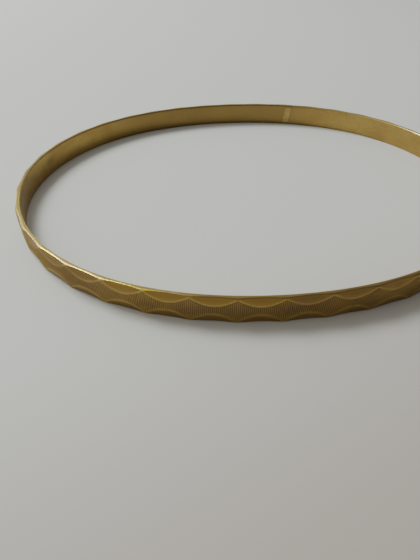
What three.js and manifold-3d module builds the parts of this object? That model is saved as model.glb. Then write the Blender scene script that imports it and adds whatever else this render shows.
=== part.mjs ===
// A slip-on bangle bracelet: one decorated strip of brass, bent into a slightly oval ring and closed
// with solder.  Millimetres, +Z up, origin in the middle of the ring on the plane that it rests on.
// The strip's outer face is a plain band between two rows of hollow facets that meet in points.
import * as THREE from 'three';
import { mergeVertices } from 'three/addons/utils/BufferGeometryUtils.js';
import Module from 'manifold-3d';

// ---------------------------------------------------------------- driving dimensions

const INNER_LENGTH = 68.7;                          // opening for the hand, along X
const INNER_WIDTH = 55.3;                           // opening for the hand, along Y
const BAND_HEIGHT = 3.75;                           // width of the strip, which stands on its edge
const WALL = 0.7;                                   // thickness of the strip
const EDGE_ROUND = 0.2;                             // radius on the strip's four long edges

const SCALLOPS = 38;                                // facets along each edge
const FIRST_CUSP = 2.42;                            // first point between two facets, along the strip from +X
const FACET_HEIGHT = 1.3;                           // at a facet's middle, on the outer face
const FACET_TILT = THREE.MathUtils.degToRad(10.5);  // between a facet and the upright wall

const SEAM_ANGLE = THREE.MathUtils.degToRad(66);    // where the strip's ends meet, on the oval from +X
const SEAM_LEAN = THREE.MathUtils.degToRad(9);      // the ends are cut this far from upright
const SEAM_GAP = 0.2;                               // between the strip's two ends, filled with solder
const SEAM_SHARE = 0.02;                            // clearance all round the solder
const PATCH_WIDTH = 1.5;                            // solder filed flush with the inner face
const PATCH_DEPTH = 0.15;

const STEPS_PER_SCALLOP = 6;                        // flats along the strip in one facet
const EDGE_STEPS = 2;                               // flats round one rounded edge
const REACH = 2;                                    // how far a cutting shape runs past what it cuts

// ---------------------------------------------------------------- the oval

const MEAN_REACH = (INNER_LENGTH + INNER_WIDTH) / 4;   // half of the opening, averaged over X and Y
const SWING = (INNER_LENGTH - INNER_WIDTH) / 4;         // what an end gains on it and a side loses

/**
 * A closed curve that keeps one distance outside the oval of the hand opening.  The oval's reach from the
 * middle swings evenly between its half length and its half width: mean + swing * cos(2 angle).
 */
class OffsetOval extends THREE.Curve {
  constructor(offset) {
    super();
    this.offset = offset;
    this.arcLengthDivisions = 1440;
  }

  getPoint(t, target = new THREE.Vector3()) {
    const angle = 2 * Math.PI * t;
    const outward = outwardAt(angle);
    return target
      .set(Math.cos(angle), Math.sin(angle), 0)
      .multiplyScalar(MEAN_REACH + SWING * Math.cos(2 * angle))
      .addScaledVector(outward, this.offset);
  }
}

/** The unit normal of the oval at an angle, level and pointing away from the hand. */
function outwardAt(angle) {
  const reach = MEAN_REACH + SWING * Math.cos(2 * angle);
  const slope = -2 * SWING * Math.sin(2 * angle);
  return new THREE.Vector3(
    reach * Math.cos(angle) + slope * Math.sin(angle),
    reach * Math.sin(angle) - slope * Math.cos(angle),
    0,
  ).normalize();
}

const innerWall = new OffsetOval(0);
const middleLayer = new OffsetOval(WALL / 2);
const outerWall = new OffsetOval(WALL);

const PITCH = middleLayer.getLength() / SCALLOPS;

// The facets are all cut with one round cutter.  It goes this much deeper at a facet's middle than at the
// two points beside it, where the facet only just touches the strip's rounded edge.
const FACET_CUT = FACET_HEIGHT * Math.sin(FACET_TILT)
  + EDGE_ROUND * (1 - Math.cos(FACET_TILT) - Math.sin(FACET_TILT));
const MEAN_BEND = (2 * Math.PI) / middleLayer.getLength();
const CUTTER_RADIUS = 1 / ((2 * FACET_CUT) / (PITCH / 2) ** 2 - MEAN_BEND);

/** The curve parameter at a distance along the strip's middle layer from +X. */
function parameterAt(distance) {
  const share = distance / middleLayer.getLength();
  return middleLayer.getUtoTmapping(share - Math.floor(share));
}

// ---------------------------------------------------------------- solids

const wasm = await Module();
wasm.setup();

/** Turns a closed three.js geometry into a solid that can be cut and joined. */
function solidOf(geometry) {
  const bare = geometry.clone();
  bare.deleteAttribute('normal');
  bare.deleteAttribute('uv');
  const merged = mergeVertices(bare, 1e-5);
  return new wasm.Manifold(new wasm.Mesh({
    numProp: 3,
    vertProperties: Float32Array.from(merged.attributes.position.array),
    triVerts: Uint32Array.from(merged.index.array),
  }));
}

/** Turns a solid back into a three.js geometry. */
function geometryOf(solid) {
  const mesh = solid.getMesh();
  const geometry = new THREE.BufferGeometry();
  geometry.setAttribute('position', new THREE.BufferAttribute(mesh.vertProperties, 3));
  geometry.setIndex(new THREE.BufferAttribute(mesh.triVerts, 1));
  geometry.computeVertexNormals();
  return geometry;
}

/** The undecorated strip as a closed ring with rounded edges. */
function blankRing() {
  const steps = SCALLOPS * STEPS_PER_SCALLOP;
  const parameters = Array.from({ length: steps },
    (_, i) => parameterAt(FIRST_CUSP + (i / STEPS_PER_SCALLOP) * PITCH));
  const outline = new THREE.Shape(parameters.map((t) => outerWall.getPoint(t)));
  outline.holes.push(new THREE.Path(parameters.map((t) => innerWall.getPoint(t)).reverse()));
  return new THREE.ExtrudeGeometry(outline, {
    depth: BAND_HEIGHT - 2 * EDGE_ROUND,
    bevelThickness: EDGE_ROUND,
    bevelSize: EDGE_ROUND,
    bevelOffset: -EDGE_ROUND,
    bevelSegments: EDGE_STEPS,
  }).translate(0, 0, EDGE_ROUND);
}

/** The round cutter that hollows one facet.  Its axis leans with the facet. */
function facetCutter(t, side) {
  const angle = 2 * Math.PI * t;
  const facing = outwardAt(angle)
    .multiplyScalar(Math.cos(FACET_TILT))
    .setZ(side * Math.sin(FACET_TILT));
  const along = outwardAt(angle)
    .multiplyScalar(-Math.sin(FACET_TILT))
    .setZ(side * Math.cos(FACET_TILT));
  const length = BAND_HEIGHT + 2 * REACH;
  const middle = outerWall.getPoint(t)
    .setZ(BAND_HEIGHT / 2 + side * (BAND_HEIGHT / 2 - FACET_HEIGHT))
    .addScaledVector(facing, CUTTER_RADIUS)
    .addScaledVector(along, length / 2 - REACH);
  const flats = Math.round((2 * Math.PI * CUTTER_RADIUS * STEPS_PER_SCALLOP) / PITCH);
  const across = new THREE.Vector3().crossVectors(along, facing);
  const place = new THREE.Matrix4().makeBasis(across, along, facing).setPosition(middle);
  return new THREE.CylinderGeometry(CUTTER_RADIUS, CUTTER_RADIUS, length, flats).applyMatrix4(place);
}

/** The ring with both rows of facets cut, before it is opened at the seam. */
function decoratedRing() {
  let ring = solidOf(blankRing());
  for (let i = 0; i < SCALLOPS; i += 1) {
    const t = parameterAt(FIRST_CUSP + (i + 0.5) * PITCH);
    for (const side of [1, -1]) {
      ring = ring.subtract(solidOf(facetCutter(t, side)));
    }
  }
  return ring;
}

/**
 * The space that the solder takes: a thin leaning web between the strip's two ends, and a shallow patch
 * along it on the inner face.  The clearance is taken off every side that faces the strip.
 */
function seamSpace(clearance) {
  const web = SEAM_GAP / 2 - clearance;
  const patch = PATCH_WIDTH / 2 - clearance;
  const depth = PATCH_DEPTH - clearance;
  const section = new THREE.Shape([
    new THREE.Vector2(-patch, -REACH),
    new THREE.Vector2(patch, -REACH),
    new THREE.Vector2(patch, depth),
    new THREE.Vector2(web, depth),
    new THREE.Vector2(web, WALL + REACH),
    new THREE.Vector2(-web, WALL + REACH),
    new THREE.Vector2(-web, depth),
    new THREE.Vector2(-patch, depth),
  ]);
  const outward = outwardAt(SEAM_ANGLE);
  const across = new THREE.Vector3(outward.y, -outward.x, 0);
  const leaning = new THREE.Vector3(0, 0, 1).addScaledVector(across, Math.tan(SEAM_LEAN));
  const foot = innerWall.getPoint(SEAM_ANGLE / (2 * Math.PI))
    .addScaledVector(leaning, -BAND_HEIGHT / 2 - REACH)
    .add(new THREE.Vector3(0, 0, BAND_HEIGHT / 2));
  const place = new THREE.Matrix4().makeBasis(across, outward, leaning).setPosition(foot);
  return new THREE.ExtrudeGeometry(section, { depth: BAND_HEIGHT + 2 * REACH, bevelEnabled: false })
    .applyMatrix4(place);
}

// ---------------------------------------------------------------- the assembly

const brass = new THREE.MeshStandardMaterial({ color: 0xa8843a, roughness: 0.38, metalness: 1.0 });
const solder = new THREE.MeshStandardMaterial({ color: 0xc2a766, roughness: 0.45, metalness: 1.0 });

function buildBangle() {
  const ring = decoratedRing();

  const band = new THREE.Mesh(geometryOf(ring.subtract(solidOf(seamSpace(0)))), brass);
  band.name = 'band';

  const seam = new THREE.Mesh(geometryOf(ring.intersect(solidOf(seamSpace(SEAM_SHARE)))), solder);
  seam.name = 'solder_seam';

  const bangle = new THREE.Group();
  bangle.add(band, seam);
  return bangle;
}

export default buildBangle();
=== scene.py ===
"""A slip-on bangle bracelet: one decorated brass strip, bent into an oval ring and closed with solder.

The strip is described on a flat bench first: distance runs along it, depth goes from its inner face
outwards and height goes up from its middle line.  StripPath then bends that flat strip round the hand.
Sizes are in millimetres until a mesh is made, and a mesh is in metres.
"""
import logging
import math
from dataclasses import dataclass
from enum import Enum
from functools import cached_property

import bmesh
import bpy
import numpy as np
from mathutils import Matrix, Vector


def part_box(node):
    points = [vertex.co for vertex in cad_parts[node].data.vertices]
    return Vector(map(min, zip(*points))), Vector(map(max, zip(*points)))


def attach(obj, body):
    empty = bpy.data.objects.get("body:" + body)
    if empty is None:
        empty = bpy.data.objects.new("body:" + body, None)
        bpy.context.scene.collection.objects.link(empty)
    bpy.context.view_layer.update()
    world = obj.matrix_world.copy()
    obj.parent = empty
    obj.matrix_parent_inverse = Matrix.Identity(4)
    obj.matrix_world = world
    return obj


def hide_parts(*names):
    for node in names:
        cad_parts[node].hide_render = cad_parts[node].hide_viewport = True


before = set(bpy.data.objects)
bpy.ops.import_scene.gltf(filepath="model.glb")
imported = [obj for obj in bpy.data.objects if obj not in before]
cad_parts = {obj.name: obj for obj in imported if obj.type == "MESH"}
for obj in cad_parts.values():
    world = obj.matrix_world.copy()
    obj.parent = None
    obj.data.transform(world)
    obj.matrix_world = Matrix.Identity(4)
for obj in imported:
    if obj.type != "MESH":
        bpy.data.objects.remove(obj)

MM = 0.001
LOG = logging.getLogger("bangle")
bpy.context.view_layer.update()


class Side(Enum):
    """Which half of the strip's height a row of points is on."""

    UPPER = 1.0
    LOWER = -1.0


# ------------------------------------------------------------------ the strip on the bench


@dataclass(frozen=True)
class StripPath:
    """The oval route of the strip round the hand, measured along the strip's middle layer."""

    half_length: float
    half_width: float
    wall: float
    samples: int = 7200

    def level_points(self, angle: np.ndarray, depth: np.ndarray) -> tuple[np.ndarray, np.ndarray]:
        """Finds points in plan: the oval, moved out along its own normal by a depth.

        The oval's reach from the middle swings evenly between its half length and its half width: the
        mean of the two, plus half of their difference times cos 2t.

        Args:
            angle: t, in radians.
            depth: distance outside the oval, in millimetres.

        Returns:
            The x and y of each point.
        """
        mean = (self.half_length + self.half_width) / 2
        swing = (self.half_length - self.half_width) / 2
        reach = mean + swing * np.cos(2 * angle)
        slope = -2 * swing * np.sin(2 * angle)
        normal_x = reach * np.cos(angle) + slope * np.sin(angle)
        normal_y = reach * np.sin(angle) - slope * np.cos(angle)
        offset = depth / np.hypot(reach, slope)
        return reach * np.cos(angle) + offset * normal_x, reach * np.sin(angle) + offset * normal_y

    @cached_property
    def route(self) -> tuple[np.ndarray, np.ndarray]:
        """The angles round the oval, and the distance run along the middle layer at each.

        Returns:
            The angles in radians and the distances in millimetres, both in order.
        """
        angle = np.linspace(0.0, 2.0 * math.pi, self.samples + 1)
        x, y = self.level_points(angle, np.full_like(angle, self.wall / 2))
        run = np.concatenate([[0.0], np.cumsum(np.hypot(np.diff(x), np.diff(y)))])
        return angle, run

    @property
    def length(self) -> float:
        """The whole way round the middle layer."""
        return float(self.route[1][-1])

    def distance_at(self, angle: float) -> float:
        """The distance along the strip at an angle round the oval."""
        return float(np.interp(angle, *self.route))

    def bend(self, distance: np.ndarray, depth: np.ndarray, height: np.ndarray) -> np.ndarray:
        """Bends points of the flat strip round the oval.

        Args:
            distance: along the strip from the oval's long end, in millimetres.
            depth: outwards from the inner face.
            height: above the plane that the ring stands on.

        Returns:
            Points in metres, one row of x, y, z for each.
        """
        angle_list, run = self.route
        angle = np.interp(np.mod(distance, self.length), run, angle_list)
        x, y = self.level_points(angle, depth)
        return np.stack([x, y, height], axis=-1).reshape(-1, 3) * MM


@dataclass(frozen=True)
class StripSection:
    """The outline of the strip's upper half, which changes along the strip.

    A facet is a plane that leans in from the wall by its tilt.  It starts its own height below the rim
    at a scallop's middle and recedes with the square of the distance from there, so it dies out at the
    cusps.  The wall below it has upright grooves; above it the blank's rounded edge is left at the cusps.
    """

    height: float
    wall: float
    pitch: float
    first_cusp: float
    edge_round: float = 0.2
    facet_height: float = 1.3
    facet_tilt: float = math.radians(10.5)
    grooves_per_scallop: int = 24
    groove_depth: float = 0.05
    lip: float = 0.022
    pinch_stop: float = 0.985

    @property
    def half(self) -> float:
        """Half of the strip's height."""
        return self.height / 2

    @property
    def normal(self) -> tuple[float, float]:
        """The facet's outward direction, as depth and height."""
        return math.cos(self.facet_tilt), math.sin(self.facet_tilt)

    @property
    def full_cut(self) -> float:
        """How much deeper a facet is at its middle than at a cusp, where it just touches the round."""
        out, up = self.normal
        return self.facet_height * up + self.edge_round * (1.0 - out - up)

    def recession(self, distance: np.ndarray) -> np.ndarray:
        """How far the facet plane has receded: its full cut times the square of (2 phase - 1)."""
        phase = np.mod((distance - self.first_cusp) / self.pitch, 1.0)
        return self.full_cut * (2.0 * phase - 1.0) ** 2

    def groove(self, distance: np.ndarray) -> np.ndarray:
        """The groove across the wall, 0 on a line and 1 in a groove: 1 - cos^4 of half a turn per line."""
        lines = (distance - self.first_cusp) / self.pitch * self.grooves_per_scallop
        return 1.0 - np.cos(math.pi * lines) ** 4

    def edge_angles(self, distance: np.ndarray) -> tuple[np.ndarray, np.ndarray]:
        """Where the facet plane crosses the rounded edge, as two angles up from level.

        With the plane at a signed distance d from the centre of a round of radius r, the crossings are
        the tilt minus and plus arccos(d / r).  Zero and a quarter turn mean that the plane misses the
        round and meets the wall or the flat of the rim instead.  d / r stops just short of 1, so that a
        facet keeps a sliver of length where it dies out.

        Args:
            distance: along the strip.

        Returns:
            The lower and the upper angle at each distance, in radians.
        """
        out, up = self.normal
        room = self.facet_height - self.edge_round
        gap = self.recession(distance) + self.edge_round * out - room * up
        spread = np.arccos(np.clip(gap / self.edge_round, -1.0, self.pinch_stop))
        lower = np.clip(self.facet_tilt - spread, 0.0, self.facet_tilt)
        upper = np.clip(self.facet_tilt + spread, self.facet_tilt, math.pi / 2)
        return lower, upper

    def wall_row(self, distance: np.ndarray, down: np.ndarray) -> tuple[np.ndarray, np.ndarray]:
        """Points below the facet's lower border: down the rounded edge if it starts there, then the wall.

        Args:
            distance: along the strip.
            down: how far below the border, measured over the surface.

        Returns:
            The depth and height of each point.
        """
        lower, _ = self.edge_angles(distance)
        border = self.half - self.facet_height + self.recession(distance) / self.normal[1]
        base = np.where(lower > 0.0, self.half - self.edge_round, border)
        angle = np.maximum(lower - down / self.edge_round, 0.0)
        straight = np.maximum(down - self.edge_round * lower, 0.0)
        depth = self.wall - self.edge_round * (1.0 - np.cos(angle))
        return depth, base + self.edge_round * np.sin(angle) - straight

    def rim_row(self, distance: np.ndarray, inward: np.ndarray) -> tuple[np.ndarray, np.ndarray]:
        """Points past the facet's upper border: over what is left of the rounded edge, then the flat rim.

        Args:
            distance: along the strip.
            inward: how far past the border, measured over the surface.

        Returns:
            The depth and height of each point.
        """
        _, upper = self.edge_angles(distance)
        out, up = self.normal
        corner = self.wall + (self.recession(distance) - self.facet_height * up) / out
        base = np.where(upper < math.pi / 2, self.wall - self.edge_round, corner)
        angle = np.minimum(upper + inward / self.edge_round, math.pi / 2)
        straight = np.maximum(inward - self.edge_round * (math.pi / 2 - upper), 0.0)
        depth = base + self.edge_round * np.cos(angle) - straight
        return depth, self.half - self.edge_round * (1.0 - np.sin(angle))

    def facet_length(self, distance: np.ndarray) -> np.ndarray:
        """How long the facet is from its lower border to its upper one, up the slope.

        Args:
            distance: along the strip.

        Returns:
            The length at each distance, in millimetres.
        """
        start = self.wall_row(distance, np.zeros_like(distance))
        end = self.rim_row(distance, np.zeros_like(distance))
        return np.hypot(end[0] - start[0], end[1] - start[1])

    def wall_length(self, distance: np.ndarray) -> np.ndarray:
        """How far it is over the surface from the facet's lower border to the strip's middle line.

        Args:
            distance: along the strip.

        Returns:
            The length at each distance, in millimetres.
        """
        lower, _ = self.edge_angles(distance)
        _, height = self.wall_row(distance, self.edge_round * lower)
        return height + self.edge_round * lower


@dataclass(frozen=True)
class SeamPlace:
    """The leaning joint between the strip's two ends."""

    distance: float
    lean: float = math.radians(9.0)
    gap: float = 0.2
    patch_width: float = 1.5
    patch_depth: float = 0.15

    def middle_at(self, height: np.ndarray) -> np.ndarray:
        """The distance along the strip of the joint's middle at a height over the middle line."""
        return self.distance - math.tan(self.lean) * height


@dataclass(frozen=True)
class PunchMark:
    """A small blank oval pressed into the inner face."""

    distance: float
    half_length: float = 1.25
    half_height: float = 0.62
    depth: float = 0.03
    outer_reach: float = 1.15
    slope_width: float = 0.45

    def press(self, distance: np.ndarray, height: np.ndarray) -> np.ndarray:
        """How deep the mark is: full inside the oval, and falling smoothly to nothing at its outline."""
        reach = np.hypot((distance - self.distance) / self.half_length, height / self.half_height)
        return self.depth * smooth_step((self.outer_reach - reach) / self.slope_width)


@dataclass(frozen=True)
class PaintedHighlightStretch:
    """A stretch of the ring whose edges carry a painted highlight: brighter, yellower metal colour."""

    distance: float
    ring: float
    strength: float
    half_length: float = 14.0
    fade: float = 9.0

    def share(self, distance: np.ndarray) -> np.ndarray:
        """How strong the painted highlight is at each place: full strength along the stretch, falling to 0
        past its ends.
        """
        apart = np.mod(distance - self.distance + self.ring / 2, self.ring) - self.ring / 2
        return self.strength * smooth_step((self.half_length + self.fade - np.abs(apart)) / self.fade)


def smooth_step(share: np.ndarray) -> np.ndarray:
    """Eases from 0 to 1: 3 s^2 - 2 s^3 of the share, held between the two ends."""
    held = np.clip(share, 0.0, 1.0)
    return held * held * (3.0 - 2.0 * held)


def fade_out(reach: np.ndarray, start: float, end: float) -> np.ndarray:
    """Eases from 1 to 0 between a start and an end."""
    return 1.0 - smooth_step((reach - start) / (end - start))


# ------------------------------------------------------------------ meshes from whole arrays


def grid_faces(rows: int, columns: int, first: int = 0) -> np.ndarray:
    """Quads of a grid stored row by row.

    Args:
        rows: number of rows of points.
        columns: number of points in a row.
        first: index of the grid's first point.

    Returns:
        Four indices for each quad, turning anticlockwise as rows go up and columns go right.
    """
    corner = (first + np.arange(rows - 1)[:, None] * columns + np.arange(columns - 1)[None, :]).ravel()
    return np.stack([corner, corner + 1, corner + columns + 1, corner + columns], axis=1)


def stitch_faces(fine: int, coarse: int, cells: int, steps: int, flip: bool) -> np.ndarray:
    """Triangles that join a finely spaced row of points to a coarse one above it.

    Args:
        fine: index of the fine row's first point.
        coarse: index of the coarse row's first point.
        cells: number of coarse spaces.
        steps: fine spaces in one coarse space.
        flip: turn the triangles over, for a coarse row below the fine one.

    Returns:
        Three indices for each triangle.
    """
    low = fine + np.arange(cells)[:, None] * steps + np.arange(steps)[None, :]
    left = coarse + np.arange(cells)[:, None] + (np.arange(steps)[None, :] > steps // 2)
    fans = np.stack([low, low + 1, np.broadcast_to(left, low.shape)], axis=-1).reshape(-1, 3)
    middle = fine + np.arange(cells) * steps + steps // 2 + 1
    start = coarse + np.arange(cells)
    gaps = np.stack([middle, start + 1, start], axis=-1)
    faces = np.concatenate([fans, gaps])
    return faces[:, ::-1] if flip else faces


def mesh_object(name: str, points: np.ndarray, groups: list[np.ndarray]) -> bpy.types.Object:
    """Makes an object from arrays of points and faces.

    Args:
        name: the object's name.
        points: one row of x, y, z in metres for each point.
        groups: arrays of faces, each array with its own number of corners.

    Returns:
        The object, linked to the scene, with smooth faces.
    """
    corners = np.concatenate([group.ravel() for group in groups]).astype(np.int32)
    sizes = np.concatenate([np.full(len(group), group.shape[1]) for group in groups])
    starts = (np.cumsum(sizes) - sizes).astype(np.int32)
    mesh = bpy.data.meshes.new(name)
    mesh.vertices.add(len(points))
    mesh.vertices.foreach_set("co", points.astype(np.float32).ravel())
    mesh.loops.add(len(corners))
    mesh.loops.foreach_set("vertex_index", corners)
    mesh.polygons.add(len(sizes))
    mesh.polygons.foreach_set("loop_start", starts)
    mesh.update(calc_edges=True)
    mesh.validate()
    obj = bpy.data.objects.new(name, mesh)
    bpy.context.scene.collection.objects.link(obj)
    return obj


def store(obj: bpy.types.Object, name: str, values: np.ndarray) -> None:
    """Stores one number or one vector on each point of a mesh.

    Args:
        obj: the mesh object.
        name: what a material calls the values.
        values: one number or one row of three for each point.
    """
    kind = "FLOAT_VECTOR" if values.ndim == 2 else "FLOAT"
    field = "vector" if values.ndim == 2 else "value"
    attribute = obj.data.attributes.new(name, kind, "POINT")
    attribute.data.foreach_set(field, values.astype(np.float32).ravel())


def finish_mesh(obj: bpy.types.Object, sharp_angle: float) -> None:
    """Merges points that coincide, points the faces outwards and smooths all but the sharp edges.

    Args:
        obj: the mesh object to finish.
        sharp_angle: edges that turn more than this stay sharp, in radians.
    """
    editable = bmesh.new()
    editable.from_mesh(obj.data)
    bmesh.ops.remove_doubles(editable, verts=editable.verts, dist=2e-8)
    bmesh.ops.recalc_face_normals(editable, faces=editable.faces)
    editable.to_mesh(obj.data)
    editable.free()
    obj.data.polygons.foreach_set("use_smooth", np.ones(len(obj.data.polygons), bool))
    obj.data.set_sharp_from_angle(angle=sharp_angle)


# ------------------------------------------------------------------ shader building blocks


class Nodes:
    """A short way to add and join nodes in one node tree."""

    def __init__(self, tree: bpy.types.NodeTree) -> None:
        """Keeps the tree and empties it."""
        self.tree = tree
        tree.nodes.clear()

    def add(self, kind: str, inputs: dict | None = None, **settings: object) -> bpy.types.Node:
        """Adds a node.

        Args:
            kind: the node's type name.
            inputs: values or output sockets, by input name or number.
            settings: the node's own properties.

        Returns:
            The new node.
        """
        node = self.tree.nodes.new(kind)
        for key, value in settings.items():
            setattr(node, key, value)
        for key, value in (inputs or {}).items():
            if isinstance(value, bpy.types.NodeSocket):
                self.tree.links.new(value, node.inputs[key])
            else:
                node.inputs[key].default_value = value
        return node

    def attribute(self, name: str, output: str) -> bpy.types.NodeSocket:
        """What a mesh carries on its points by a name: its Fac is a number and its Vector is a place."""
        return self.add("ShaderNodeAttribute", attribute_name=name).outputs[output]

    def math(self, operation: str, *values: object) -> bpy.types.NodeSocket:
        """The result of a Math node on up to three values or sockets."""
        node = self.add("ShaderNodeMath", dict(enumerate(values)), operation=operation)
        return node.outputs[0]

    def mix(self, factor: object, first: object, second: object) -> bpy.types.NodeSocket:
        """A colour mixed from two by a factor."""
        node = self.add("ShaderNodeMix", {0: factor, 6: first, 7: second}, data_type="RGBA")
        return node.outputs[2]

    def ramp(self, value: object, low: float, high: float,
             first: float = 0.0, last: float = 1.0) -> bpy.types.NodeSocket:
        """Carries a value smoothly from one range to another, and holds it at the ends.

        Args:
            value: the value or socket.
            low: where the ramp starts.
            high: where it ends.
            first: the result up to the start.
            last: the result from the end on.

        Returns:
            The result.
        """
        inputs = {0: value, 1: low, 2: high, 3: first, 4: last}
        node = self.add("ShaderNodeMapRange", inputs, interpolation_type="SMOOTHSTEP")
        return node.outputs[0]

    def along(self, vector: object, side: Vector) -> bpy.types.NodeSocket:
        """How far a vector reaches towards one side: their dot product, with the side at length 1."""
        inputs = {0: vector, 1: side.normalized()}
        return self.add("ShaderNodeVectorMath", inputs, operation="DOT_PRODUCT").outputs["Value"]

    def noise(self, vector: object, scale: tuple[float, float, float],
              detail: float) -> bpy.types.NodeSocket:
        """Makes noise from 0 to 1.

        Args:
            vector: the place in space.
            scale: how finely the noise varies in each direction.
            detail: how many finer layers it has.

        Returns:
            The noise.
        """
        stretched = self.add("ShaderNodeMapping", {"Vector": vector, "Scale": scale})
        inputs = {"Vector": stretched.outputs[0], "Scale": 1.0, "Detail": detail, "Roughness": 0.55}
        return self.add("ShaderNodeTexNoise", inputs).outputs[0]


def new_group(name: str, inputs: dict[str, tuple], outputs: dict[str, str]) -> bpy.types.NodeTree:
    """Makes an empty shader node group.

    Args:
        name: the group's name.
        inputs: socket kind and default, by name.
        outputs: socket kind, by name.

    Returns:
        The group's node tree.
    """
    group = bpy.data.node_groups.new(name, "ShaderNodeTree")
    for label, (kind, value) in inputs.items():
        socket = group.interface.new_socket(name=label, in_out="INPUT", socket_type=kind)
        if value is not None:
            socket.default_value = value
    for label, kind in outputs.items():
        group.interface.new_socket(name=label, in_out="OUTPUT", socket_type=kind)
    return group


FLOAT = "NodeSocketFloat"
VECTOR = "NodeSocketVector"


@dataclass(frozen=True)
class TarnishEffect:
    """Patchy tarnish: broad clouds and small spots that follow the strip, as one mask."""

    cloud_scale: tuple[float, float, float] = (0.6, 1.2, 1.2)
    spot_scale: tuple[float, float, float] = (6.0, 9.0, 9.0)
    cloud_share: float = 0.75
    clear_below: float = 0.38
    full_above: float = 0.64

    def build(self) -> bpy.types.NodeTree:
        """Makes the shared node group.

        Returns:
            The group, which turns strip coordinates into a mask from 0 to its amount.
        """
        inputs = {"Strip": (VECTOR, None), "Amount": (FLOAT, 0.5), "Patch Size": (FLOAT, 4.0)}
        group = new_group("tarnish", inputs, {"Mask": FLOAT})
        nodes = Nodes(group)
        source = nodes.add("NodeGroupInput")
        frequency = nodes.math("DIVIDE", 1.0, source.outputs["Patch Size"])
        place = nodes.add("ShaderNodeVectorMath", {0: source.outputs["Strip"]}, operation="SCALE")
        group.links.new(frequency, place.inputs["Scale"])
        clouds = nodes.noise(place.outputs[0], self.cloud_scale, 3.0)
        spots = nodes.noise(place.outputs[0], self.spot_scale, 2.0)
        few_spots = nodes.math("MULTIPLY", spots, 1.0 - self.cloud_share)
        both = nodes.math("MULTIPLY_ADD", clouds, self.cloud_share, few_spots)
        shaped = nodes.ramp(both, self.clear_below, self.full_above)
        mask = nodes.math("MULTIPLY", shaped, source.outputs["Amount"])
        nodes.add("NodeGroupOutput", {"Mask": mask})
        return group


@dataclass(frozen=True)
class GrainEffect:
    """Fine hand-polishing lines that run along the strip, with a few longer scratches."""

    line_scale: tuple[float, float, float] = (0.35, 16.0, 16.0)
    hair_scale: tuple[float, float, float] = (0.9, 34.0, 34.0)
    scratch_scale: tuple[float, float, float] = (0.22, 7.0, 7.0)
    hair_share: float = 0.5
    scratch_from: float = 0.64
    scratch_to: float = 0.70

    def build(self) -> bpy.types.NodeTree:
        """Makes the shared node group.

        Returns:
            The group, which turns strip coordinates into a height and a mask of the scratches.
        """
        inputs = {"Strip": (VECTOR, None)}
        group = new_group("polishing grain", inputs, {"Height": FLOAT, "Scratch": FLOAT})
        nodes = Nodes(group)
        strip = nodes.add("NodeGroupInput").outputs["Strip"]
        lines = nodes.noise(strip, self.line_scale, 2.0)
        hairs = nodes.noise(strip, self.hair_scale, 1.0)
        streaks = nodes.noise(strip, self.scratch_scale, 1.0)
        scratch = nodes.ramp(streaks, self.scratch_from, self.scratch_to)
        height = nodes.math("MULTIPLY_ADD", hairs, self.hair_share, lines)
        nodes.add("NodeGroupOutput", {"Height": height, "Scratch": scratch})
        return group


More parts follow.
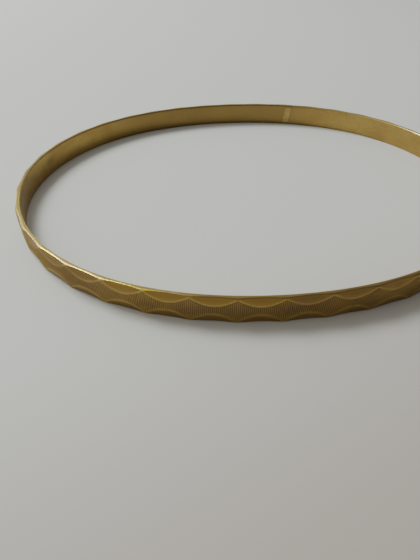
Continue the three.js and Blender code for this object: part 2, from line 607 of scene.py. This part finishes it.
@dataclass(frozen=True)
class BrassFinish:
    """Old yellow brass: bright where it rubs, browned on the flats and dark in the grooves, with painted
    light on it: a painted highlight along the highlight stretches, a painted shade line along the facet
    corners, a darker olive tone painted on the rim flats and darker painted shade on the back stretch of
    the inner face.

    Its places are strip coordinates: along the strip, outwards from the inner face, and up from the
    middle line.  The painted shade on the back stretch is darkest at its middle distance.
    """

    name: str
    ring: float
    # painted highlight: the yellowest metal colour, reached only along the strong highlight stretch
    painted_highlight: tuple[float, float, float, float] = (0.92, 0.80, 0.035, 1.0)
    bright: tuple[float, float, float, float] = (0.70, 0.54, 0.185, 1.0)
    mellow: tuple[float, float, float, float] = (0.42, 0.29, 0.095, 1.0)
    amber: tuple[float, float, float, float] = (0.40, 0.245, 0.045, 1.0)
    brown: tuple[float, float, float, float] = (0.30, 0.175, 0.055, 1.0)
    # painted shade: a darker, browner tone on the back stretch of the ring, mostly its inner face, where it
    # reflects shade
    painted_shade_tone: tuple[float, float, float, float] = (0.215, 0.137, 0.048, 1.0)
    # painted shade: a darker olive tone on the rim flats, standing in for their darker reflection
    rim: tuple[float, float, float, float] = (0.24, 0.178, 0.054, 1.0)
    # colour of dirt in the grooves and punch mark, and of painted shade along the facet-rim corner
    grime_and_shade: tuple[float, float, float, float] = (0.098, 0.062, 0.045, 1.0)
    tarnish: float = 0.6
    shade_place: float = 55.0
    shade_reach: tuple[float, float] = (12.0, 28.0)
    amber_depth: tuple[float, float] = (0.15, 0.45)
    rim_height: tuple[float, float] = (1.70, 1.84)
    highlight_from: tuple[float, float] = (0.62, 0.85)
    tarnished_wear: float = 0.72
    dirt_and_shade_share: tuple[float, float] = (0.7, 0.95)
    roughness: float = 0.30
    tarnish_roughness: float = 0.10
    wear_smoothness: float = 0.15
    dirt_and_shade_roughness: float = 0.25
    dirt_and_shade_cover: float = 0.6
    grain_strength: float = 0.35
    grain_height: float = 0.000012

    def color(self, nodes: Nodes, strip: object, tarnish: object, worn_and_highlit: object) -> bpy.types.NodeSocket:
        """Mixes the metal's colour: its tone by place, then tarnish, then wear and the painted highlight.

        Args:
            nodes: the material's nodes.
            strip: the strip coordinates.
            tarnish: the tarnish mask.
            worn_and_highlit: the mask of wear and of the painted highlight.

        Returns:
            The colour of the metal without its soiling and painted shade.
        """
        place = nodes.add("ShaderNodeSeparateXYZ", {0: strip})
        outside = nodes.ramp(place.outputs["Y"], *self.amber_depth)
        # painted shade: the tone darkens towards the back stretch of the inner face
        from_shade = nodes.math("SUBTRACT", place.outputs["X"], self.shade_place)
        from_shade = nodes.math("ABSOLUTE", nodes.math("WRAP", from_shade, self.ring / 2, -self.ring / 2))
        age_and_shade = nodes.ramp(from_shade, *self.shade_reach, 1.0, 0.0)
        on_rim = nodes.ramp(nodes.math("ABSOLUTE", place.outputs["Z"]), *self.rim_height)
        clean = nodes.mix(outside, nodes.mix(age_and_shade, self.mellow, self.painted_shade_tone), self.amber)
        # painted shade: the rim flats take the darker olive tone
        clean = nodes.mix(on_rim, clean, self.rim)
        flat = nodes.mix(tarnish, clean, nodes.mix(age_and_shade, self.brown, self.painted_shade_tone))
        rub_and_highlight = nodes.mix(worn_and_highlit, flat, self.bright)
        # painted highlight: where the highlight stretch is strongest the colour turns to its yellowest
        return nodes.mix(nodes.ramp(worn_and_highlit, *self.highlight_from), rub_and_highlight, self.painted_highlight)

    def build(self, groups: dict[str, bpy.types.NodeTree]) -> bpy.types.Material:
        """Makes the material.

        Args:
            groups: the shared node groups, by name.

        Returns:
            The finished material.
        """
        material = bpy.data.materials.new(self.name)
        material.use_nodes = True
        nodes = Nodes(material.node_tree)
        strip = nodes.attribute("strip", "Vector")
        rub_and_highlight = nodes.attribute("rub_and_highlight", "Fac")
        dirt_and_shade_mask = nodes.attribute("dirt_and_shade_mask", "Fac")
        effect = {"Strip": strip, "Amount": self.tarnish}
        tarnish = nodes.add("ShaderNodeGroup", effect, node_tree=groups["tarnish"]).outputs["Mask"]
        grain = nodes.add("ShaderNodeGroup", {"Strip": strip}, node_tree=groups["grain"])

        # wear, together with the painted highlight of the highlight stretches
        worn_and_highlit = nodes.math("MULTIPLY", rub_and_highlight, nodes.ramp(tarnish, 0.0, 1.0, 1.0, self.tarnished_wear))
        # dirt, and painted shade along the facet-rim corner and on the rim near the cusps
        dirt_and_shade = nodes.math("MULTIPLY", dirt_and_shade_mask, nodes.ramp(tarnish, 0.0, 1.0, *self.dirt_and_shade_share))
        color = nodes.mix(dirt_and_shade, self.color(nodes, strip, tarnish, worn_and_highlit), self.grime_and_shade)
        rough = nodes.math("MULTIPLY_ADD", tarnish, self.tarnish_roughness, self.roughness)
        rough = nodes.math("MULTIPLY_ADD", worn_and_highlit, -self.wear_smoothness, rough)
        rough = nodes.math("MULTIPLY_ADD", dirt_and_shade, self.dirt_and_shade_roughness, rough)
        metallic = nodes.math("MULTIPLY_ADD", dirt_and_shade, -self.dirt_and_shade_cover, 1.0)
        relief = nodes.math("SUBTRACT", grain.outputs["Height"], grain.outputs["Scratch"])
        bump = nodes.add("ShaderNodeBump", {
            "Height": relief, "Strength": self.grain_strength, "Distance": self.grain_height})
        shader = nodes.add("ShaderNodeBsdfPrincipled", {
            "Base Color": color, "Metallic": metallic, "Roughness": rough, "Normal": bump.outputs[0]})
        nodes.add("ShaderNodeOutputMaterial", {"Surface": shader.outputs[0]})
        return material


@dataclass(frozen=True)
class SolderFinish:
    """Paler solder, filed flush and only lightly tarnished, which dulls towards its edges."""

    name: str
    pale: tuple[float, float, float, float] = (0.50, 0.385, 0.15, 1.0)
    dull: tuple[float, float, float, float] = (0.27, 0.18, 0.06, 1.0)
    patch_size: float = 0.8
    roughness: float = 0.42
    tarnish_roughness: float = 0.12
    grain_strength: float = 0.5
    grain_height: float = 0.000015

    def build(self, groups: dict[str, bpy.types.NodeTree]) -> bpy.types.Material:
        """Makes the material.

        Args:
            groups: the shared node groups, by name.

        Returns:
            The finished material.
        """
        material = bpy.data.materials.new(self.name)
        material.use_nodes = True
        nodes = Nodes(material.node_tree)
        strip = nodes.attribute("strip", "Vector")
        rub_and_highlight = nodes.attribute("rub_and_highlight", "Fac")
        effect = {"Strip": strip, "Patch Size": self.patch_size}
        tarnish = nodes.add("ShaderNodeGroup", effect, node_tree=groups["tarnish"]).outputs["Mask"]
        grain = nodes.add("ShaderNodeGroup", {"Strip": strip}, node_tree=groups["grain"])
        age_and_shade = nodes.math("MAXIMUM", tarnish, nodes.math("SUBTRACT", 1.0, rub_and_highlight))
        color = nodes.mix(age_and_shade, self.pale, self.dull)
        rough = nodes.math("MULTIPLY_ADD", tarnish, self.tarnish_roughness, self.roughness)
        bump = nodes.add("ShaderNodeBump", {
            "Height": grain.outputs["Height"], "Strength": self.grain_strength,
            "Distance": self.grain_height})
        shader = nodes.add("ShaderNodeBsdfPrincipled", {
            "Base Color": color, "Metallic": 1.0, "Roughness": rough, "Normal": bump.outputs[0]})
        nodes.add("ShaderNodeOutputMaterial", {"Surface": shader.outputs[0]})
        return material


@dataclass(frozen=True)
class TableFinish:
    """A plain pale table with a very faint tooth, and painted shade: darker and warmer towards its near
    side.
    """

    name: str
    far: tuple[float, float, float, float] = (0.66, 0.675, 0.645, 1.0)
    # painted shade: the darker, warmer colour of the table's near side, standing in for the light falling
    # off
    near: tuple[float, float, float, float] = (0.44, 0.395, 0.35, 1.0)
    falloff_side: Vector = Vector((0.35, -0.94, 0.0))
    falloff_from: float = 0.012
    falloff_to: float = 0.060
    roughness: float = 0.7
    tooth_fineness: float = 1400.0
    tooth_strength: float = 0.15
    tooth_height: float = 0.00005

    def build(self) -> bpy.types.Material:
        """Makes the material.

        Returns:
            The finished material.
        """
        material = bpy.data.materials.new(self.name)
        material.use_nodes = True
        nodes = Nodes(material.node_tree)
        place = nodes.add("ShaderNodeTexCoord").outputs["Object"]
        # painted shade: the table darkens towards its near side
        painted_falloff = nodes.ramp(nodes.along(place, self.falloff_side), self.falloff_from, self.falloff_to)
        color = nodes.mix(painted_falloff, self.far, self.near)
        tooth = nodes.noise(place, (self.tooth_fineness,) * 3, 2.0)
        bump = nodes.add("ShaderNodeBump", {
            "Height": tooth, "Strength": self.tooth_strength, "Distance": self.tooth_height})
        shader = nodes.add("ShaderNodeBsdfPrincipled", {
            "Base Color": color, "Roughness": self.roughness, "Normal": bump.outputs[0]})
        nodes.add("ShaderNodeOutputMaterial", {"Surface": shader.outputs[0]})
        return material


# ------------------------------------------------------------------ the bangle's two pieces


Row = tuple[np.ndarray, np.ndarray, np.ndarray, np.ndarray]


@dataclass(frozen=True)
class StripWearAndPaintedLight:
    """Amounts from 0 to 1 of wear, soiling, painted shade and painted highlight on each part of the strip.

    The facet has one value for each of its rows, from its lower border up.  The highlight values are
    what a painted highlight stretch adds, and the cusp values are what the narrow end of a facet adds.
    The corner and shoulder shade values paint a dark shade line along the corner between facet and
    rim, and the cusp rim value paints a shadow on the rim beside it near the cusps.
    """

    border: float = 0.44
    line: float = 0.30
    groove_dirt: float = 0.35
    facet: tuple[float, ...] = (0.2, 0.0, 0.05, 0.1)
    # how far the facets are darkened towards the grime colour
    facet_darkening: float = 0.47
    cusp: float = 0.55
    edge: float = 0.05
    # painted highlight: what the corner, shoulder, rim and inner edge gain along a highlight stretch
    highlight_corner: float = 0.95
    highlight_shoulder: float = 0.85
    highlight_rim: float = 0.25
    highlight_inner_edge: float = 0.7
    # painted shade: a dark line along the facet-rim corner, and a shadow on the rim near the cusps
    corner_shade: float = 0.8
    shoulder_shade: float = 0.65
    cusp_shoulder_shade: float = 0.25
    cusp_rim_shade: float = 0.4
    inner_edge: float = 0.1
    inside: float = 0.12
    mark_dirt: float = 0.3


@dataclass(frozen=True)
class EdgeColumns:
    """The columns of a strip's edge, with what all of its rows need to know about each column."""

    distance: np.ndarray
    slope: np.ndarray
    ease: np.ndarray
    near_cusp: np.ndarray
    # strength of the painted highlight stretch at each column
    bright: np.ndarray

    @property
    def zero(self) -> np.ndarray:
        """A nought for each column."""
        return np.zeros_like(self.distance)


@dataclass(frozen=True)
class Band:
    """The decorated strip, from one side of the seam round to the other.

    The steps are distances over the surface: down the wall from a facet's lower border, and over the
    rim from its upper one.  Where a facet is short near a cusp, its rows move together by their shares.
    """

    path: StripPath
    section: StripSection
    seam: SeamPlace
    mark: PunchMark
    highlight_stretches: tuple[PaintedHighlightStretch, ...]
    wear: StripWearAndPaintedLight = StripWearAndPaintedLight()
    fine_steps: int = 5
    spare_grooves: int = 4
    wall_steps: tuple[float, ...] = (0.0, 0.04, 0.12)
    rim_steps: tuple[float, ...] = (0.10, 0.16, 0.22)
    round_steps: int = 3
    inside_steps: int = 6
    border_width: float = 0.12
    groove_run: float = 0.25
    dirt_run: float = 0.3
    border_cut_share: float = 0.4
    corner_ease: float = 0.06
    ease_share: float = 0.3
    lower_inset: float = 0.2
    lower_share: float = 0.6
    upper_inset: float = 0.1
    upper_share: float = 0.15
    wide_facet: float = 0.3
    cusp_reach: float = 0.5
    rim_shadow: float = 0.15
    sharp_angle: float = math.radians(55.0)

    def columns(self, steps: int) -> np.ndarray:
        """Distances along the strip that keep in step with the scallops and run just past both ends.

        Args:
            steps: columns in the width of one groove.

        Returns:
            The distances, in order.
        """
        space = self.section.pitch / self.section.grooves_per_scallop
        first = math.floor((self.seam.distance - self.section.first_cusp) / space) - 1
        count = round(self.path.length / space) + self.spare_grooves
        return self.section.first_cusp + space * (first + np.arange(count * steps + 1) / steps)

    def trim(self, distance: np.ndarray, height: np.ndarray) -> np.ndarray:
        """Holds the columns between the two leaning ends of the strip.

        Args:
            distance: along the strip.
            height: over the middle line.

        Returns:
            The distances, with those past an end brought back to it.
        """
        middle = self.seam.middle_at(height)
        start = middle + self.seam.gap / 2
        end = middle + self.path.length - self.seam.gap / 2
        return np.clip(distance, start, end)

    def wall_rows(self, distance: np.ndarray, side: Side) -> tuple[np.ndarray, ...]:
        """The grooved wall on one side of the middle line, from the facet's border inwards.

        A groove meets the facet plane higher up than the lines beside it do, by its depth over the
        tangent of the tilt, which gives the border its teeth.

        Args:
            distance: the fine columns.
            side: the half of the strip to make.

        Returns:
            Distance, depth, height and two masks (rubbed and hollow), one row for each step.
        """
        part = self.section
        groove = part.groove(distance)
        limit = self.border_cut_share * part.facet_length(distance) * part.normal[1]
        near = np.minimum(part.groove_depth, limit)
        downs = [np.full_like(distance, step) for step in self.wall_steps]
        downs += [(self.wall_steps[-1] + part.wall_length(distance)) / 2]
        rows = []
        for number, down in enumerate(downs):
            depth, height = part.wall_row(distance, down)
            cut = near + (part.groove_depth - near) * smooth_step(down / self.groove_run)
            raised = part.lip * (1.0 - smooth_step(down / self.border_width))
            tooth = near * groove / math.tan(part.facet_tilt) if number == 0 else 0.0
            border = self.wear.border * np.maximum(1.0 - down / self.border_width, 0.0)
            rub_and_highlight = np.maximum(border, self.wear.line * (1.0 - groove))
            dirt_and_shade_mask = groove * smooth_step(self.wear.groove_dirt + down / self.dirt_run)
            rows.append((distance, depth - cut * groove + raised, side.value * (height + tooth),
                         rub_and_highlight, dirt_and_shade_mask))
        return tuple(np.stack(field) for field in zip(*rows))

    def middle_row(self, distance: np.ndarray) -> tuple[np.ndarray, ...]:
        """The single row of points on the wall's middle line.

        Args:
            distance: the fine columns.

        Returns:
            Distance, depth, height and two masks (rubbed and hollow), in one row.
        """
        groove = self.section.groove(distance)
        depth = self.section.wall - self.section.groove_depth * groove
        rub_and_highlight = self.wear.line * (1.0 - groove)
        return tuple(field[None] for field in (distance, depth, np.zeros_like(distance), rub_and_highlight, groove))

    def edge_columns(self, distance: np.ndarray) -> EdgeColumns:
        """Works out what changes along the edge: the facet's length, how near a cusp is, and the painted
        highlight.

        Args:
            distance: the coarse columns.

        Returns:
            The columns with those values.
        """
        slope = self.section.facet_length(distance)
        return EdgeColumns(
            distance=distance,
            slope=slope,
            ease=np.minimum(self.corner_ease, self.ease_share * slope),
            near_cusp=1.0 - smooth_step(slope / self.cusp_reach),
            bright=np.maximum.reduce([stretch.share(distance) for stretch in self.highlight_stretches]),
        )

    def facet_rows(self, at: EdgeColumns) -> list[Row]:
        """The facet's rows, straight up its slope.

        Args:
            at: the edge's columns.

        Returns:
            Depth, height, rubbed and hollow for each row.
        """
        out, up = self.section.normal
        depth, height = self.section.wall_row(at.distance, at.zero)
        end = at.slope - at.ease
        first = np.minimum(self.lower_inset, self.lower_share * at.slope)
        inset = np.minimum(self.upper_inset, self.upper_share * at.slope)
        last = end - inset * (at.slope > self.wide_facet)
        # darkens the facets towards the grime colour, less near the cusps
        dirt_and_shade = self.wear.facet_darkening * (1.0 - at.near_cusp)
        return [(depth - up * along, height + out * along,
                 np.maximum(rub_and_highlight, self.wear.cusp * at.near_cusp), dirt_and_shade * (1.0 - rub_and_highlight))
                for along, rub_and_highlight in zip((first, (first + last) / 2, last, end), self.wear.facet)]

    def shoulder_rows(self, at: EdgeColumns) -> list[Row]:
        """The eased corner between the facet and the rim, with a painted shade line, lifted on highlight
        stretches.

        The corner's own point sinks by its ease times the tangent of a quarter of its turn.

        Args:
            at: the edge's columns.

        Returns:
            Depth, height, rubbed and hollow for each row.
        """
        part = self.section
        _, upper = part.edge_angles(at.distance)
        turn = (part.facet_tilt + upper) / 2
        sink = at.ease * np.tan((upper - part.facet_tilt) / 4)
        depth, height = part.rim_row(at.distance, at.zero)
        # painted shade: a dark line along the corner between facet and rim, lifted where the painted
        # highlight is
        unhighlit = 1.0 - at.bright
        wear = self.wear
        corner = (depth - sink * np.cos(turn), height - sink * np.sin(turn),
                  wear.edge + wear.highlight_corner * at.bright, wear.corner_shade * unhighlit)
        dirt_and_shade = (wear.shoulder_shade + wear.cusp_shoulder_shade * at.near_cusp) * unhighlit
        shoulder = (*part.rim_row(at.distance, at.ease),
                    wear.edge + wear.highlight_shoulder * at.bright, dirt_and_shade)
        return [corner, shoulder]

    def rim_rows(self, at: EdgeColumns) -> list[Row]:
        """The flat of the rim and the rounded inner edge.

        Args:
            at: the edge's columns.

        Returns:
            Depth, height, rubbed and hollow for each row.
        """
        part = self.section
        wear = self.wear
        rows = []
        for inward in self.rim_steps:
            # painted shadow on the rim just past the corner, near the cusps
            dirt_and_shade = wear.cusp_rim_shade * at.near_cusp * (inward < self.rim_shadow) * (1.0 - at.bright)
            rows.append((*part.rim_row(at.distance, at.zero + inward),
                         wear.edge + wear.highlight_rim * at.bright, dirt_and_shade))
        for angle in np.linspace(0.0, math.pi / 2, self.round_steps + 1):
            depth = at.zero + part.edge_round * (1.0 - math.sin(angle))
            height = at.zero + part.half - part.edge_round * (1.0 - math.cos(angle))
            rub_and_highlight = (wear.inner_edge + wear.highlight_inner_edge * at.bright) * math.sin(2 * angle)
            rows.append((depth, height, wear.inside + rub_and_highlight, at.zero))
        return rows

    def inside_rows(self, at: EdgeColumns, side: Side) -> list[Row]:
        """The inner face down to the middle line, with the punch mark pressed into it.

        Args:
            at: the edge's columns.
            side: the half of the strip to make.

        Returns:
            Depth, height, rubbed and hollow for each row.
        """
        rows = []
        for share in np.linspace(1.0, 0.0, self.inside_steps + 1)[1:]:
            height = at.zero + share * (self.section.half - self.section.edge_round)
            pressed = self.mark.press(at.distance, side.value * height)
            dirt_and_shade = self.wear.mark_dirt * pressed / self.mark.depth
            rows.append((pressed, height, at.zero + self.wear.inside, dirt_and_shade))
        return rows

    def edge_rows(self, distance: np.ndarray, side: Side) -> tuple[np.ndarray, ...]:
        """The facet, the rim, the rounded inner edge and the inner face, on one side.

        Args:
            distance: the coarse columns.
            side: the half of the strip to make.

        Returns:
            Distance, depth, height and two masks (rubbed and hollow), one row for each step.
        """
        at = self.edge_columns(distance)
        rows = self.facet_rows(at) + self.shoulder_rows(at) + self.rim_rows(at) + self.inside_rows(at, side)
        placed = [(distance, depth, side.value * height, rub_and_highlight, dirt_and_shade_mask)
                  for depth, height, rub_and_highlight, dirt_and_shade_mask in rows]
        return tuple(np.stack(field) for field in zip(*placed))

    def surface(self, fields: tuple[np.ndarray, ...]) -> tuple[np.ndarray, ...]:
        """Trims rows at the seam and bends them round the hand.

        Args:
            fields: distance, depth, height, rubbed and hollow, one row for each step.

        Returns:
            Points in metres, then strip coordinates, rubbed and hollow for each point.
        """
        distance, depth, height, rub_and_highlight, dirt_and_shade_mask = fields
        trimmed = self.trim(distance, height)
        points = self.path.bend(trimmed, depth, height + self.section.half)
        strip = np.stack([trimmed, depth, height], axis=-1).reshape(-1, 3)
        return points, strip, rub_and_highlight.ravel(), dirt_and_shade_mask.ravel()

    def build(self, finish: bpy.types.Material) -> bpy.types.Object:
        """Makes the strip as one closed mesh and gives it its finish.

        Args:
            finish: the material for all of it.

        Returns:
            The band.
        """
        fine = self.columns(self.fine_steps)
        coarse = self.columns(1)
        cells = len(coarse) - 1
        lower = self.wall_rows(fine, Side.LOWER)
        upper = self.wall_rows(fine, Side.UPPER)
        wall = [np.concatenate([low, mid, up[::-1]])
                for low, mid, up in zip(lower, self.middle_row(fine), upper)]
        above = self.edge_rows(coarse, Side.UPPER)
        below = self.edge_rows(coarse, Side.LOWER)
        edge = [np.concatenate([up, low[:-1][::-1]]) for up, low in zip(above, below)]
        wall_count, edge_count = len(wall[0]), len(edge[0])
        edge_first = wall_count * len(fine)
        edge_last = edge_first + (edge_count - 1) * len(coarse)
        parts = [self.surface(tuple(wall)), self.surface(tuple(edge))]
        points, strip, rub_and_highlight, dirt_and_shade_mask = (np.concatenate(field) for field in zip(*parts))
        faces = np.concatenate([
            grid_faces(wall_count, len(fine)),
            grid_faces(edge_count, len(coarse), edge_first),
        ])
        top_border = (wall_count - 1) * len(fine)
        stitches = np.concatenate([
            stitch_faces(top_border, edge_first, cells, self.fine_steps, False),
            stitch_faces(0, edge_last, cells, self.fine_steps, True),
        ])
        loop = np.concatenate([
            np.arange(wall_count) * len(fine),
            edge_first + np.arange(edge_count) * len(coarse),
        ])
        turn = np.concatenate([
            np.full(wall_count, len(fine) - 1),
            np.full(edge_count, len(coarse) - 1),
        ])
        caps = np.stack([loop, (loop + turn)[::-1]])
        obj = mesh_object("band_body", points, [faces, stitches, caps])
        store(obj, "strip", strip)
        store(obj, "rub_and_highlight", rub_and_highlight)
        store(obj, "dirt_and_shade_mask", dirt_and_shade_mask)
        finish_mesh(obj, self.sharp_angle)
        obj.data.materials.append(finish)
        return obj


@dataclass(frozen=True)
class SolderSeam:
    """The solder: a leaning web between the strip's ends and a filed patch on the inner face.

    The web stops short of the strip's ends by its slack, and of the outer face by a share of the
    grooves' depth.  The patch reaches a little past its pocket, and always leaves some of the web.
    """

    path: StripPath
    section: StripSection
    seam: SeamPlace
    slack: float = 0.01
    proud: float = 0.012
    sunk_share: float = 0.3
    past_pocket: float = 0.01
    least_web: float = 0.02
    back_share: float = 0.8
    dull_across: tuple[float, float] = (0.5, 1.0)
    dull_up: tuple[float, float] = (0.52, 0.92)
    levels: int = 41
    crown_points: int = 11
    sharp_angle: float = math.radians(40.0)

    def outline(self, height: np.ndarray) -> tuple[np.ndarray, np.ndarray]:
        """The solder's level section at each height: a T with its flange on the inner face.

        The flange's face is a shallow crown, proud of the inner face by a cosine across its width, and
        the flange narrows into the web over the rounded edges of the strip.

        Args:
            height: levels over the middle line, in millimetres.

        Returns:
            Across and depth for the points of each level, one row for each level.
        """
        part = self.section
        rise = np.maximum(np.abs(height) - (part.half - part.edge_round), 0.0)
        round_depth = np.sqrt(np.maximum(part.edge_round ** 2 - rise ** 2, 0.0))
        inner = part.edge_round - round_depth
        shoulder = part.wall - part.edge_round + round_depth
        sunk = part.wall - self.sunk_share * part.groove_depth
        outer = np.minimum(np.minimum(self.facet_depth(height), shoulder), sunk)
        web = np.full_like(height, self.seam.gap / 2 - self.slack)
        taper = np.sqrt(np.maximum(1.0 - (rise / part.edge_round) ** 2, 0.0))
        flange = web + (self.seam.patch_width / 2 - web) * taper
        spread = np.cos(np.linspace(math.pi, 0.0, self.crown_points))
        crown = inner[:, None] - self.proud * np.cos(spread * math.pi / 2)[None, :]
        across = flange[:, None] * spread[None, :]
        pocket = inner + self.seam.patch_depth * taper + self.past_pocket
        floor = np.minimum(pocket, outer - self.least_web)
        heel = flange * self.back_share
        back = np.stack([heel, web, web, -web, -web, -heel], axis=1)
        depth = np.stack([floor, floor, outer, outer, floor, floor], axis=1)
        return np.concatenate([across, back], axis=1), np.concatenate([crown, depth], axis=1)

    def facet_depth(self, height: np.ndarray) -> np.ndarray:
        """How deep the facet plane lies at each level of the leaning seam.

        Args:
            height: levels over the middle line.

        Returns:
            The depth of the plane on the nearer side, which is outside the wall below a facet's start.
        """
        part = self.section
        out, up = part.normal
        rise = np.abs(height) - (part.half - part.facet_height)
        return part.wall + (part.recession(self.seam.middle_at(height)) - rise * up) / out

    def build(self, finish: bpy.types.Material) -> bpy.types.Object:
        """Makes the solder as one closed mesh and gives it its finish.

        Args:
            finish: the material for all of it.

        Returns:
            The solder.
        """
        half = self.section.half
        height = half * np.sin(np.linspace(-math.pi / 2, math.pi / 2, self.levels))
        across, depth = self.outline(height)
        distance = self.seam.middle_at(height)[:, None] + across
        levels = np.broadcast_to(height[:, None], across.shape)
        points = self.path.bend(distance, depth, levels + half)
        strip = np.stack([distance, depth, levels], axis=-1).reshape(-1, 3)
        sideways = fade_out(np.abs(across) / (self.seam.patch_width / 2), *self.dull_across)
        upright = fade_out(np.abs(height) / half, *self.dull_up)
        rub_and_highlight = sideways * upright[:, None]
        count = across.shape[1]
        side = grid_faces(self.levels, count)
        first = np.arange(self.levels - 1) * count
        closing = np.stack([first + count - 1, first, first + count, first + 2 * count - 1], axis=1)
        ring = np.arange(count)
        caps = np.stack([ring[::-1], ring + (self.levels - 1) * count])
        obj = mesh_object("solder_fill", points, [side, closing, caps])
        store(obj, "strip", strip)
        store(obj, "rub_and_highlight", rub_and_highlight.ravel())
        finish_mesh(obj, self.sharp_angle)
        obj.data.materials.append(finish)
        return obj


@dataclass(frozen=True)
class Bangle:
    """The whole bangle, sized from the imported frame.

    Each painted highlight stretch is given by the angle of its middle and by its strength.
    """

    wall: float = 0.7
    scallops: int = 38
    first_cusp: float = 2.42
    seam_angle: float = math.radians(66.0)
    mark_angle: float = math.radians(164.3)
    # painted highlight stretches, by middle angle and strength: the front-left shoulder and a weaker one at
    # the back right
    painted_highlight: tuple[tuple[float, float], ...] = ((math.radians(212.0), 1.0), (math.radians(30.0), 0.5))

    def build(self, groups: dict[str, bpy.types.NodeTree]) -> list[bpy.types.Object]:
        """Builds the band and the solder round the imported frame.

        Args:
            groups: the shared node groups, by name.

        Returns:
            The two pieces.
        """
        low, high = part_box("band")
        path = StripPath(high.x / MM - self.wall, high.y / MM - self.wall, self.wall)
        section = StripSection(
            height=(high.z - low.z) / MM,
            wall=self.wall,
            pitch=path.length / self.scallops,
            first_cusp=self.first_cusp,
        )
        seam = SeamPlace(path.distance_at(self.seam_angle))
        mark = PunchMark(path.distance_at(self.mark_angle))

        highlight_stretches = tuple(PaintedHighlightStretch(path.distance_at(angle), path.length, strength)
                       for angle, strength in self.painted_highlight)

        brass = BrassFinish("old_brass", path.length).build(groups)
        band = Band(path, section, seam, mark, highlight_stretches).build(brass)
        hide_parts("band")
        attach(band, "root")

        pale = SolderFinish("filed_solder").build(groups)
        solder = SolderSeam(path, section, seam).build(pale)
        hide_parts("solder_seam")
        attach(solder, "root")
        return [band, solder]


# ------------------------------------------------------------------ table, light and camera


@dataclass(frozen=True)
class Viewpoint:
    """The camera: it stands off the ring's middle, and is then turned a little away from it."""

    heading: float = math.radians(-10.34)
    elevation: float = math.radians(30.47)
    distance: float = 0.07111
    pan: float = math.radians(4.422)
    tilt: float = math.radians(-11.83)
    roll: float = math.radians(-2.808)
    focal: float = 27.64
    sensor: float = 36.0
    nearest: float = 0.005

    def build(self) -> bpy.types.Object:
        """Makes the camera and gives it to the scene.

        Returns:
            The camera.
        """
        level = Vector((math.sin(self.heading), -math.cos(self.heading), 0.0))
        back = level * math.cos(self.elevation) + Vector((0, 0, 1)) * math.sin(self.elevation)
        forward = -back
        right = Vector((math.cos(self.heading), math.sin(self.heading), 0.0))
        up = right.cross(forward)
        turned = Matrix.Rotation(self.pan, 3, up)
        forward, right = turned @ forward, turned @ right
        nodded = Matrix.Rotation(self.tilt, 3, right)
        forward, up = nodded @ forward, nodded @ up
        rolled = Matrix.Rotation(self.roll, 3, forward)
        right, up = rolled @ right, rolled @ up
        axes = Matrix((right, up, -forward)).transposed()
        data = bpy.data.cameras.new("camera")
        data.sensor_width = self.sensor
        data.lens = self.focal
        data.clip_start = self.nearest
        camera = bpy.data.objects.new("camera", data)
        camera.matrix_world = Matrix.Translation(back * self.distance) @ axes.to_4x4()
        bpy.context.scene.collection.objects.link(camera)
        bpy.context.scene.camera = camera
        return camera


@dataclass(frozen=True)
class WindowLamp:
    """A square lamp that faces the bangle, as a window would."""

    place: Vector = Vector((-0.281, 0.239, 0.407))
    size: float = 0.21
    power: float = 2.6
    color: tuple[float, float, float] = (0.98, 1.0, 0.97)

    def build(self) -> bpy.types.Object:
        """Makes the lamp.

        Returns:
            The lamp, turned towards the middle of the table.
        """
        data = bpy.data.lights.new("window", "AREA")
        data.size = self.size
        data.energy = self.power
        data.color = self.color
        lamp = bpy.data.objects.new("window", data)
        lamp.location = self.place
        lamp.rotation_euler = (-self.place).to_track_quat("-Z", "Y").to_euler()
        bpy.context.scene.collection.objects.link(lamp)
        return lamp


@dataclass(frozen=True)
class Room:
    """The light of the room: brighter on its lit side, with a bright band of sky behind the table."""

    window_side: Vector = Vector((-0.35, 0.93, 0.0))
    window_spread: tuple[float, float] = (0.78, 1.0)
    room_side: Vector = Vector((-0.80, 0.55, -0.10))
    room_spread: tuple[float, float] = (-0.6, 0.8)
    bright_sky: tuple[float, float, float, float] = (1.0, 1.0, 0.97, 1.0)
    lit_room: tuple[float, float, float, float] = (0.92, 0.92, 0.88, 1.0)
    dark_room: tuple[float, float, float, float] = (0.20, 0.185, 0.17, 1.0)

    def build(self) -> bpy.types.World:
        """Makes the surroundings and gives them to the scene.

        Returns:
            The world.
        """
        world = bpy.data.worlds.new("soft surroundings")
        bpy.context.scene.world = world
        world.use_nodes = True
        nodes = Nodes(world.node_tree)
        direction = nodes.add("ShaderNodeTexCoord").outputs["Generated"]
        lit = nodes.ramp(nodes.along(direction, self.room_side), *self.room_spread)
        sky = nodes.ramp(nodes.along(direction, self.window_side), *self.window_spread)
        color = nodes.mix(sky, nodes.mix(lit, self.dark_room, self.lit_room), self.bright_sky)
        background = nodes.add("ShaderNodeBackground", {"Color": color})
        nodes.add("ShaderNodeOutputWorld", {"Surface": background.outputs[0]})
        return world


@dataclass(frozen=True)
class Studio:
    """A pale table under soft light that comes mostly from behind and from the left."""

    table_half: float = 0.9
    table_drop: float = 0.00002

    def build(self) -> None:
        """Makes the table, the lamp and the surrounding light."""
        side = np.array([-self.table_half, self.table_half])
        x, y = np.meshgrid(side, side)
        points = np.stack([x.ravel(), y.ravel(), np.full(4, -self.table_drop)], axis=1)
        table = mesh_object("table", points, [grid_faces(2, 2)])
        table.data.materials.append(TableFinish("pale_table").build())
        WindowLamp().build()
        Room().build()


def main() -> None:
    """Builds the camera, the studio and the bangle, and reports each piece."""
    logging.basicConfig(level=logging.INFO, format="%(name)s: %(message)s")
    Viewpoint().build()
    Studio().build()
    groups = {"tarnish": TarnishEffect().build(), "grain": GrainEffect().build()}
    for piece in Bangle().build(groups):
        mesh = piece.data
        LOG.info("%s: %d points, %d faces", piece.name, len(mesh.vertices), len(mesh.polygons))


if __name__ == "__main__":
    main()
